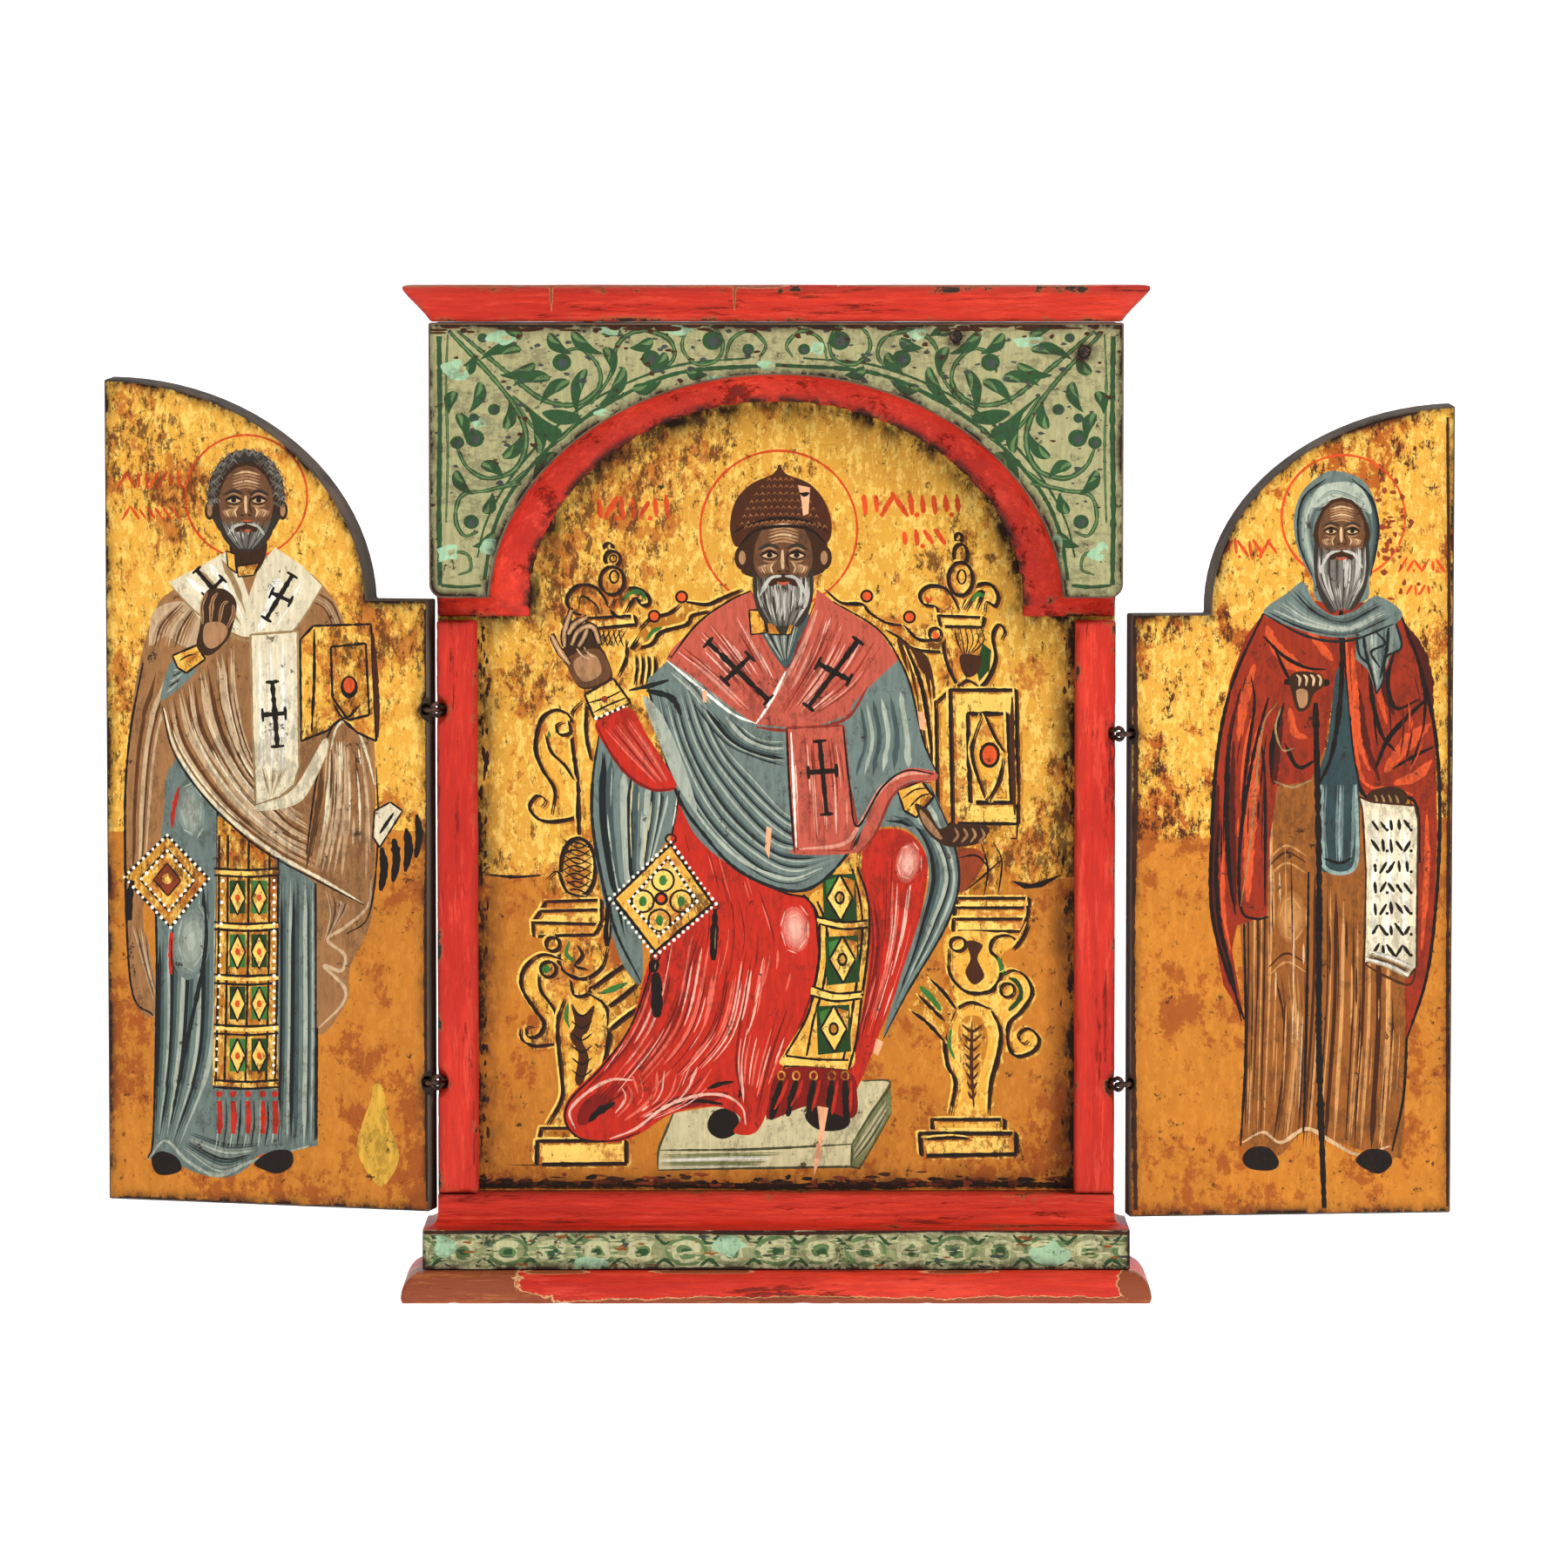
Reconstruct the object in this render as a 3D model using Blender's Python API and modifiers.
"""Wooden triptych that stands on a moulded foot, with two wings on pairs of linked wire eyes.

The frame: X runs to the viewer's right, -Y faces the viewer, +Z is up, and the origin is the
middle of the foot's underside. Lengths are written in millimetres times MM, so they are metres.
"""

import math
from collections import namedtuple

import bmesh
import bpy
from mathutils import Matrix, Vector

MM = 0.001
SEAM = 0.3 * MM  # clear gap between two pieces that touch

# Depths, measured from the flat back towards the viewer
DEPTH = 47.0 * MM  # the foot, front to back
PANEL_T = 16.0 * MM
JAMB_T = 9.7 * MM
SPANDREL_T = 11.2 * MM
FASCIA_PROUD = 13.0 * MM  # how far the plinth's fascia stands in front of the jambs
CORNICE_REACH = 8.4 * MM  # how far the cornice leans out at its top edge

# The foot, the plinth and the rail under the painted panel
FOOT_H = 10.3 * MM
FOOT_LIP_H = 1.6 * MM
FOOT_HALF = 125.2 * MM
FASCIA_H = 13.0 * MM
FASCIA_HALF = 117.9 * MM
CAVETTO_H = 3.0 * MM
RAIL_H = 7.3 * MM

# The jambs, the arched head and the cornice
CASE_HALF = 113.3 * MM
JAMB_W = 13.5 * MM
JAMB_H = 192.2 * MM
HEAD_JOINT = 0.7 * MM  # the open joint between the jambs and the head
HEAD_H = 98.5 * MM
HEAD_BAND = 7.4 * MM  # the moulded band that shows under the green board
SPRING_RISE = 3.4 * MM  # the arch's springing line above the underside of the head
ARCH_OUTER = (95.5 * MM, 77.9 * MM)  # half width and rise of the opening in the green board
ARCH_INNER = (82.5 * MM, 68.5 * MM)  # the same, where the hollow moulding ends
COVE_LIP = 1.5 * MM  # the square edge left behind the hollow moulding
SPANDREL_HALF = 115.1 * MM
SPANDREL_CORNER_R = 4.5 * MM
CORNICE_H = 12.3 * MM
CORNICE_FILLET_H = 1.3 * MM
CORNICE_ROUND = 0.9 * MM

# The wings
WING_T = 10.0 * MM
WING_EDGE_SPLAY = 0.9 * MM  # how much larger the arched edge is at the wing's unpainted side
FACE_OFFSET = 0.5 * MM  # from a hinge axis back to the painted face of an open wing
ARRIS = 0.6 * MM  # softened edges

# The hinge pins, each a bent wire with an eye and two legs
WIRE_R = 0.75 * MM
EYE_R = 2.0 * MM
LEG_SPREAD = 0.9 * MM  # from the middle of the shank to each leg
PIN_HOLE_R = LEG_SPREAD + WIRE_R + 0.4 * MM
JAMB_NOTCH_R = 5.2 * MM
WING_NOTCH_R = 4.6 * MM
FRAME_PIN_LENGTH = 12.5 * MM
CLINCH_LENGTH = 5.0 * MM
EYE_MOUTH = math.radians(38)  # the eye's open angle on each side of the shank

# The nails that hold the green board
NAIL_HEAD_R = 1.8 * MM
NAIL_HEAD_T = 0.8 * MM
NAIL_SHANK_R = 0.9 * MM
NAIL_LENGTH = 9.0 * MM
NAIL_HOLE_SPARE = 0.3 * MM
NAILS = {"nail_corner": (102.0 * MM, 9.5 * MM), "nail_crown": (59.5 * MM, 4.5 * MM)}

ARC_STEPS = 48
COVE_STEPS = 6

Wing = namedtuple("Wing", "side gap width bottom slope shoulder arch open_past_flat hinges")
WINGS = {
    "left": Wing(-1, 3.0 * MM, 112.6 * MM, 28.2 * MM, 1.2 * MM, 233.4 * MM, (92.3 * MM, 75.8 * MM),
                 13.0, {"upper": 196.7 * MM, "lower": 71.7 * MM}),
    "right": Wing(1, 5.0 * MM, 109.3 * MM, 26.4 * MM, 0.0, 228.6 * MM, (86.5 * MM, 67.2 * MM),
                  6.0, {"upper": 188.6 * MM, "lower": 71.1 * MM}),
}

# Where the pieces meet, worked out from the sizes above
BACK = DEPTH / 2
PANEL_FRONT = BACK - PANEL_T
JAMB_FRONT = PANEL_FRONT - SEAM - JAMB_T
SPANDREL_BACK = JAMB_FRONT - SEAM
SPANDREL_FRONT = SPANDREL_BACK - SPANDREL_T
FASCIA_FRONT = JAMB_FRONT - FASCIA_PROUD
PLINTH_Z = FOOT_H + SEAM
FASCIA_TOP = PLINTH_Z + FASCIA_H
CAVETTO_TOP = FASCIA_TOP + CAVETTO_H
RAIL_TOP = CAVETTO_TOP + RAIL_H
PANEL_Z = RAIL_TOP + SEAM
JAMB_TOP = PANEL_Z + JAMB_H
HEAD_Z = JAMB_TOP + HEAD_JOINT
SPANDREL_Z = HEAD_Z + HEAD_BAND
SPRING_Z = HEAD_Z + SPRING_RISE
HEAD_TOP = HEAD_Z + HEAD_H
CORNICE_Z = HEAD_TOP + SEAM


def clear_scene():
    for item in list(bpy.data.objects):
        bpy.data.objects.remove(item)


def collection(name):
    made = bpy.data.collections.new(name)
    bpy.context.scene.collection.children.link(made)
    return made


def paint(name, colour, roughness, metallic=0.0):
    material = bpy.data.materials.new(name)
    material.use_nodes = True
    shader = material.node_tree.nodes["Principled BSDF"]
    shader.inputs["Base Color"].default_value = (*colour, 1.0)
    shader.inputs["Roughness"].default_value = roughness
    shader.inputs["Metallic"].default_value = metallic
    return material


def add_object(name, mesh, group, material=None):
    made = bpy.data.objects.new(name, mesh)
    group.objects.link(made)
    if material:
        mesh.materials.append(material)
    return made


def mesh_of(bm, name):
    """A mesh from the closed body bm, with its faces turned to point outwards."""
    if bm.calc_volume(signed=True) < 0:
        bmesh.ops.reverse_faces(bm, faces=bm.faces)
    mesh = bpy.data.meshes.new(name)
    bm.to_mesh(mesh)
    bm.free()
    return mesh


def loft(name, sections, group, material):
    """A solid through sections, each a list of as many points, with flat ends."""
    bm = bmesh.new()
    rings = [[bm.verts.new(point) for point in section] for section in sections]
    for near, far in zip(rings, rings[1:]):
        for i in range(len(near)):
            j = (i + 1) % len(near)
            bm.faces.new((near[i], near[j], far[j], far[i]))
    bm.faces.new(list(reversed(rings[0])))
    bm.faces.new(rings[-1])
    return add_object(name, mesh_of(bm, name), group, material)


def box(name, low, high, group, material):
    bm = bmesh.new()
    bmesh.ops.create_cube(bm, size=1.0)
    size = Vector(high) - Vector(low)
    middle = (Vector(high) + Vector(low)) / 2
    bm.transform(Matrix.Translation(middle) @ Matrix.Diagonal((*size, 1.0)))
    return add_object(name, mesh_of(bm, name), group, material)


def soften(item, width=ARRIS, angle=40):
    bevel = item.modifiers.new("softened arrises", "BEVEL")
    bevel.width = width
    bevel.segments = 2
    bevel.limit_method = "ANGLE"
    bevel.angle_limit = math.radians(angle)


def cut(item, cutter):
    cutter.hide_render = True
    cutter.display_type = "WIRE"
    boolean = item.modifiers.new("cut " + cutter.name, "BOOLEAN")
    boolean.operation = "DIFFERENCE"
    boolean.object = cutter


def sphere_cutter(name, centre, radius, group):
    bm = bmesh.new()
    bmesh.ops.create_uvsphere(bm, u_segments=16, v_segments=10, radius=radius)
    bm.transform(Matrix.Translation(centre))
    return add_object(name, mesh_of(bm, name), group)


def rod(name, start, direction, length, radius, group, material=None, segments=20):
    """A straight round rod or hole cutter that runs from start along direction."""
    bm = bmesh.new()
    bmesh.ops.create_cone(bm, cap_ends=True, segments=segments, radius1=radius, radius2=radius,
                          depth=length)
    turn = Vector(direction).to_track_quat("Z", "Y").to_matrix().to_4x4()
    middle = Vector(start) + Vector(direction).normalized() * length / 2
    bm.transform(Matrix.Translation(middle) @ turn)
    return add_object(name, mesh_of(bm, name), group, material)


def mitred_block(name, levels, group, material):
    """A moulded block with a flat back: each level is (z, half width, front)."""
    sections = []
    for z, half, front in levels:
        sections.append([(-half, BACK, z), (half, BACK, z), (half, front, z), (-half, front, z)])
    return loft(name, sections, group, material)


def quarter(steps):
    """Pairs (run, rise) from (0, 0) to (1, 1) along a hollow quarter circle."""
    for i in range(steps + 1):
        turn = math.pi / 2 * i / steps
        yield 1 - math.cos(turn), math.sin(turn)


def make_foot(group, material):
    front = -DEPTH / 2
    reach = FOOT_HALF - FASCIA_HALF
    levels = [(0.0, FOOT_HALF, front)]
    for run, rise in quarter(5):
        z = FOOT_LIP_H + (FOOT_H - FOOT_LIP_H) * rise
        levels.append((z, FOOT_HALF - reach * run, front + reach * run))
    return mitred_block("foot_moulding", levels, group, material)


def make_plinth(group, material):
    """The fascia, a hollow moulding and the rail, worked in one piece."""
    levels = [(PLINTH_Z, FASCIA_HALF, FASCIA_FRONT)]
    for run, rise in quarter(5):
        half = FASCIA_HALF - (FASCIA_HALF - CASE_HALF) * rise
        front = FASCIA_FRONT + FASCIA_PROUD * rise
        levels.append((FASCIA_TOP + CAVETTO_H * run, half, front))
    levels.append((RAIL_TOP, CASE_HALF, JAMB_FRONT))
    return mitred_block("plinth", levels, group, material)


def make_cornice(group, material):
    splay_z = CORNICE_Z + CORNICE_FILLET_H
    top = CORNICE_Z + CORNICE_H
    out = SPANDREL_HALF + CORNICE_REACH
    front = SPANDREL_FRONT - CORNICE_REACH
    levels = [
        (CORNICE_Z, SPANDREL_HALF, SPANDREL_FRONT),
        (splay_z, SPANDREL_HALF, SPANDREL_FRONT),
        (top - 2 * CORNICE_ROUND, out, front),
        (top - CORNICE_ROUND / 2, out, front),
        (top, out - CORNICE_ROUND, front + CORNICE_ROUND),
    ]
    return mitred_block("cornice", levels, group, material)


def ellipse_arc(half_width, rise, start, end, steps=ARC_STEPS):
    """Points from the left end to the right end of an arch, about its own springing line."""
    for i in range(steps + 1):
        turn = math.pi - start + (end - math.pi + start) * i / steps
        yield half_width * math.cos(turn), rise * math.sin(turn)


def head_outline(share, y):
    """The head's outline at one step of its hollow edge: share 0 at the front, 1 at the back."""
    outer_low = math.asin((SPANDREL_Z - SPRING_Z) / ARCH_OUTER[1])
    inner_low = math.asin((HEAD_Z - SPRING_Z) / ARCH_INNER[1])
    outer = list(ellipse_arc(*ARCH_OUTER, outer_low, outer_low))
    inner = list(ellipse_arc(*ARCH_INNER, inner_low, inner_low))
    foot = SPANDREL_Z + (HEAD_Z - SPANDREL_Z) * share
    points = [(-CASE_HALF, y, foot)]
    for (ax, az), (bx, bz) in zip(outer, inner):
        points.append((ax + (bx - ax) * share, y, SPRING_Z + az + (bz - az) * share))
    points += [(CASE_HALF, y, foot), (CASE_HALF, y, HEAD_TOP), (-CASE_HALF, y, HEAD_TOP)]
    return points


def make_arch_moulding(group, material):
    """The red arched head, whose lower edge is one hollow moulding with returns at its feet."""
    hollow = JAMB_T - COVE_LIP
    sections = [head_outline(run, JAMB_FRONT + hollow * rise) for run, rise in quarter(COVE_STEPS)]
    sections.append(head_outline(1.0, PANEL_FRONT - SEAM))
    return loft("arch_moulding", sections, group, material)


def spandrel_outline(y):
    low = math.asin((SPANDREL_Z - SPRING_Z) / ARCH_OUTER[1])
    points = []
    for side in (-1, 1):
        corner = []
        for i in range(6):
            turn = math.pi / 2 * i / 5
            x = SPANDREL_HALF - SPANDREL_CORNER_R * (1 - math.sin(turn))
            z = SPANDREL_Z + SPANDREL_CORNER_R * (1 - math.cos(turn))
            corner.append((side * x, y, z))
        arc = [(x, y, SPRING_Z + z) for x, z in ellipse_arc(*ARCH_OUTER, low, low)]
        points += list(reversed(corner)) + arc if side < 0 else corner
    points += [(SPANDREL_HALF, y, HEAD_TOP), (-SPANDREL_HALF, y, HEAD_TOP)]
    return points


def make_spandrel(group, material):
    board = loft("spandrel_board", [spandrel_outline(SPANDREL_FRONT), spandrel_outline(SPANDREL_BACK)],
                 group, material)
    soften(board)
    return board


def make_nail(name, board, group, cutters, material):
    across, below_top = NAILS[name]
    head = Vector((across, SPANDREL_FRONT + NAIL_HOLE_SPARE, HEAD_TOP - below_top))
    inwards = Vector((0, 1, 0))
    shank = rod(name + "_shank_tool", head, inwards, NAIL_LENGTH, NAIL_SHANK_R, cutters, segments=10)
    shank.hide_render = True
    nail = rod(name, head, inwards, NAIL_HEAD_T, NAIL_HEAD_R, group, material, segments=14)
    union = nail.modifiers.new("shank", "BOOLEAN")
    union.operation = "UNION"
    union.object = shank
    spare = NAIL_HOLE_SPARE
    mouth = head - inwards * 2 * MM
    cut(board, rod(name + "_countersink", mouth, inwards, NAIL_HEAD_T + spare + 2 * MM,
                   NAIL_HEAD_R + spare, cutters))
    cut(board, rod(name + "_hole", head, inwards, NAIL_LENGTH + spare, NAIL_SHANK_R + spare, cutters))


def hinge_axis(wing):
    """The hinge's axis in plan: in the middle of the gap, just in front of the jamb's face."""
    return Vector((wing.side * (CASE_HALF + wing.gap / 2), JAMB_FRONT - FACE_OFFSET, 0.0))


def bent_wire(name, points, group, material):
    curve = bpy.data.curves.new(name, "CURVE")
    curve.dimensions = "3D"
    curve.bevel_depth = WIRE_R
    curve.bevel_resolution = 2
    curve.use_fill_caps = True
    spline = curve.splines.new("POLY")
    spline.points.add(len(points) - 1)
    for spot, point in zip(spline.points, points):
        spot.co = (*point, 1.0)
    return add_object(name, curve, group, material)


def eye_points(centre):
    """An eye in its own plane, as (along the shank, across it), from one leg round to the other."""
    steps = 18
    for i in range(steps + 1):
        turn = EYE_MOUTH + (2 * math.pi - 2 * EYE_MOUTH) * i / steps
        yield centre + EYE_R * math.cos(turn), EYE_R * math.sin(turn)


def make_frame_pin(name, wing, height, group, material):
    """A pin driven into the jamb's corner, whose upright eye is the hinge's post."""
    origin = hinge_axis(wing) + Vector((0, 0, height))
    shank = Vector((-wing.side, 1, 0)).normalized()
    across = Vector((0, 0, 1))
    flat = [(FRAME_PIN_LENGTH, LEG_SPREAD), (EYE_R * 2 + LEG_SPREAD, LEG_SPREAD)]
    flat += list(eye_points(EYE_R))
    flat += [(EYE_R * 2 + LEG_SPREAD, -LEG_SPREAD), (FRAME_PIN_LENGTH, -LEG_SPREAD)]
    return bent_wire(name, [origin + shank * p + across * q for p, q in flat], group, material)


def make_wing_pin(name, wing, height, group, material):
    """A pin through the wing's corner: a level eye round the post, and legs clinched behind."""
    origin = Vector((0, 0, height))
    shank = Vector((wing.side, 1, 0)).normalized()
    across = Vector((-wing.side, 1, 0)).normalized()
    behind = FACE_OFFSET + WING_T + SEAM + WIRE_R
    points = []
    for way in (1, -1):
        reach = (behind - way * LEG_SPREAD * across.y) / shank.y
        bend = origin + shank * reach + across * way * LEG_SPREAD
        tip = bend + Vector((0, 0, way * CLINCH_LENGTH))
        root = origin + shank * (EYE_R + LEG_SPREAD) + across * way * LEG_SPREAD
        leg = [tip, bend + Vector((0, 0, way * WIRE_R)), bend - shank * WIRE_R, root]
        points.append(leg)
    eye = [origin + shank * p + across * q for p, q in eye_points(0.0)]
    return bent_wire(name, points[0] + eye + list(reversed(points[1])), group, material)


def wing_outline(wing, depth, grow):
    """The wing's outline at one depth, as if it stood open flat, about its hinge axis."""
    half_gap = wing.gap / 2
    to_middle = CASE_HALF - wing.width  # what the closed wing leaves before the middle line
    centre = half_gap + wing.width + to_middle
    half_width = wing.arch[0] + grow
    rise = wing.arch[1] + grow
    low = math.asin((wing.shoulder - SPRING_Z) / rise)
    high = math.acos(to_middle / half_width)
    points = [(half_gap, wing.bottom), (half_gap + wing.width, wing.bottom + wing.slope)]
    for i in range(ARC_STEPS // 2 + 1):
        turn = high + (low - high) * i / (ARC_STEPS // 2)
        points.append((centre - half_width * math.cos(turn), SPRING_Z + rise * math.sin(turn)))
    points.append((half_gap, wing.shoulder))
    return [(wing.side * out, FACE_OFFSET + depth, z) for out, z in points]


def make_wing(key, wing, group, cutters, materials):
    pivot = bpy.data.objects.new("hinge_axis_" + key, None)
    group.objects.link(pivot)
    pivot.location = hinge_axis(wing)
    pivot.rotation_euler.z = wing.side * math.radians(wing.open_past_flat)
    sections = [wing_outline(wing, 0.0, 0.0), wing_outline(wing, WING_T, WING_EDGE_SPLAY)]
    board = loft("wing_" + key, sections, group, materials["gold"])
    soften(board)
    board.parent = pivot
    for place, height in wing.hinges.items():
        label = key + "_" + place
        centre = Vector((0, 0, height))
        shank = Vector((wing.side, 1, 0))
        notch = sphere_cutter("wing_notch_" + label, centre, WING_NOTCH_R, cutters)
        hole = rod("wing_hole_" + label, centre, shank, 3 * WING_T, PIN_HOLE_R, cutters)
        for tool in (notch, hole):
            tool.parent = pivot
            cut(board, tool)
        make_wing_pin("pin_wing_" + label, wing, height, group, materials["iron"]).parent = pivot


def make_jamb(key, wing, group, cutters, materials):
    inner = CASE_HALF - JAMB_W
    left, right = sorted((wing.side * inner, wing.side * CASE_HALF))
    jamb = box("jamb_" + key, (left, JAMB_FRONT, PANEL_Z), (right, PANEL_FRONT - SEAM, JAMB_TOP),
               group, materials["red"])
    soften(jamb)
    for place, height in wing.hinges.items():
        label = key + "_" + place
        centre = hinge_axis(wing) + Vector((0, 0, height))
        cut(jamb, sphere_cutter("jamb_notch_" + label, centre, JAMB_NOTCH_R, cutters))
        cut(jamb, rod("jamb_hole_" + label, centre, (-wing.side, 1, 0), FRAME_PIN_LENGTH + SEAM,
                      PIN_HOLE_R, cutters))
        make_frame_pin("pin_frame_" + label, wing, height, group, materials["iron"])


def main():
    clear_scene()
    group = collection("triptych")
    cutters = collection("cutters")
    materials = {
        "red": paint("vermilion over gesso", (0.60, 0.045, 0.025), 0.5),
        "green": paint("sage green over gesso", (0.33, 0.36, 0.19), 0.55),
        "gold": paint("worn gold leaf", (0.62, 0.38, 0.10), 0.4, 0.5),
        "iron": paint("hand drawn iron", (0.05, 0.04, 0.035), 0.55, 0.8),
    }
    make_foot(group, materials["red"])
    make_plinth(group, materials["red"])
    box("icon_panel", (-CASE_HALF, PANEL_FRONT, PANEL_Z), (CASE_HALF, BACK, HEAD_TOP),
        group, materials["gold"])
    make_arch_moulding(group, materials["red"])
    board = make_spandrel(group, materials["green"])
    for name in NAILS:
        make_nail(name, board, group, cutters, materials["iron"])
    make_cornice(group, materials["red"])
    for key, wing in WINGS.items():
        make_jamb(key, wing, group, cutters, materials)
        make_wing(key, wing, group, cutters, materials)


main()
